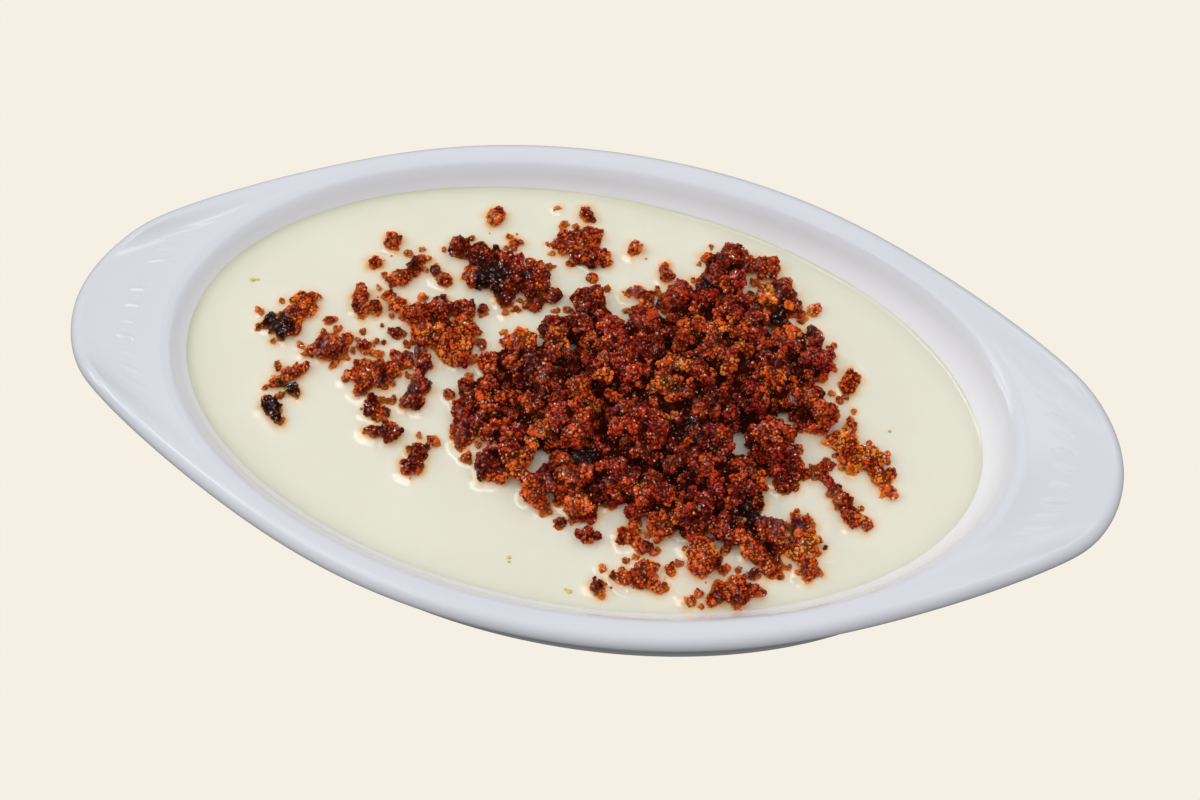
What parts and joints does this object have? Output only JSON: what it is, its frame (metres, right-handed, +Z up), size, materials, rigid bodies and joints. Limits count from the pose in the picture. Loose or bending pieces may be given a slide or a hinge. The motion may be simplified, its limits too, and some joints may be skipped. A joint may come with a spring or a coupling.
{
  "type": "bowl of cheese dip",
  "caption": "Oval white gratin dish with two lug ends, filled with pale cheese dip and topped with a heap and scattered lumps of fried chorizo crumbles.",
  "frame": {"origin": "under the middle of the dish, on the surface that it stands on", "axes": "+X along the dish from the end with the looser lumps to the end with the heap, +Y across it to the far side, +Z up"},
  "size_m": [0.245, 0.1286, 0.0332],
  "materials": {
    "dish": "gloss",
    "dip": "satin",
    "chorizo": "gloss"
  },
  "bodies": {
    "root": {"dish": "dish", "cheese_dip": "dip", "chorizo_heap": "chorizo", "chorizo_lump_01": "chorizo", "chorizo_lump_02": "chorizo", "chorizo_lump_03": "chorizo", "chorizo_lump_04": "chorizo", "chorizo_lump_05": "chorizo", "chorizo_lump_06": "chorizo", "chorizo_lump_07": "chorizo", "chorizo_lump_08": "chorizo", "chorizo_lump_09": "chorizo", "chorizo_lump_10": "chorizo", "chorizo_lump_11": "chorizo", "chorizo_lump_12": "chorizo", "chorizo_lump_13": "chorizo", "chorizo_lump_14": "chorizo", "chorizo_lump_15": "chorizo", "chorizo_lump_16": "chorizo", "chorizo_lump_17": "chorizo", "chorizo_lump_18": "chorizo", "chorizo_lump_19": "chorizo", "chorizo_lump_20": "chorizo", "chorizo_lump_21": "chorizo", "chorizo_lump_22": "chorizo", "chorizo_lump_23": "chorizo", "chorizo_lump_24": "chorizo", "chorizo_lump_25": "chorizo", "chorizo_lump_26": "chorizo", "chorizo_lump_27": "chorizo", "chorizo_lump_28": "chorizo", "chorizo_lump_29": "chorizo", "chorizo_lump_30": "chorizo", "chorizo_lump_31": "chorizo", "chorizo_lump_32": "chorizo", "chorizo_lump_33": "chorizo", "chorizo_lump_34": "chorizo", "chorizo_lump_35": "chorizo", "chorizo_lump_36": "chorizo", "chorizo_lump_37": "chorizo", "chorizo_lump_38": "chorizo", "chorizo_lump_39": "chorizo"}
  },
  "joints": []
}
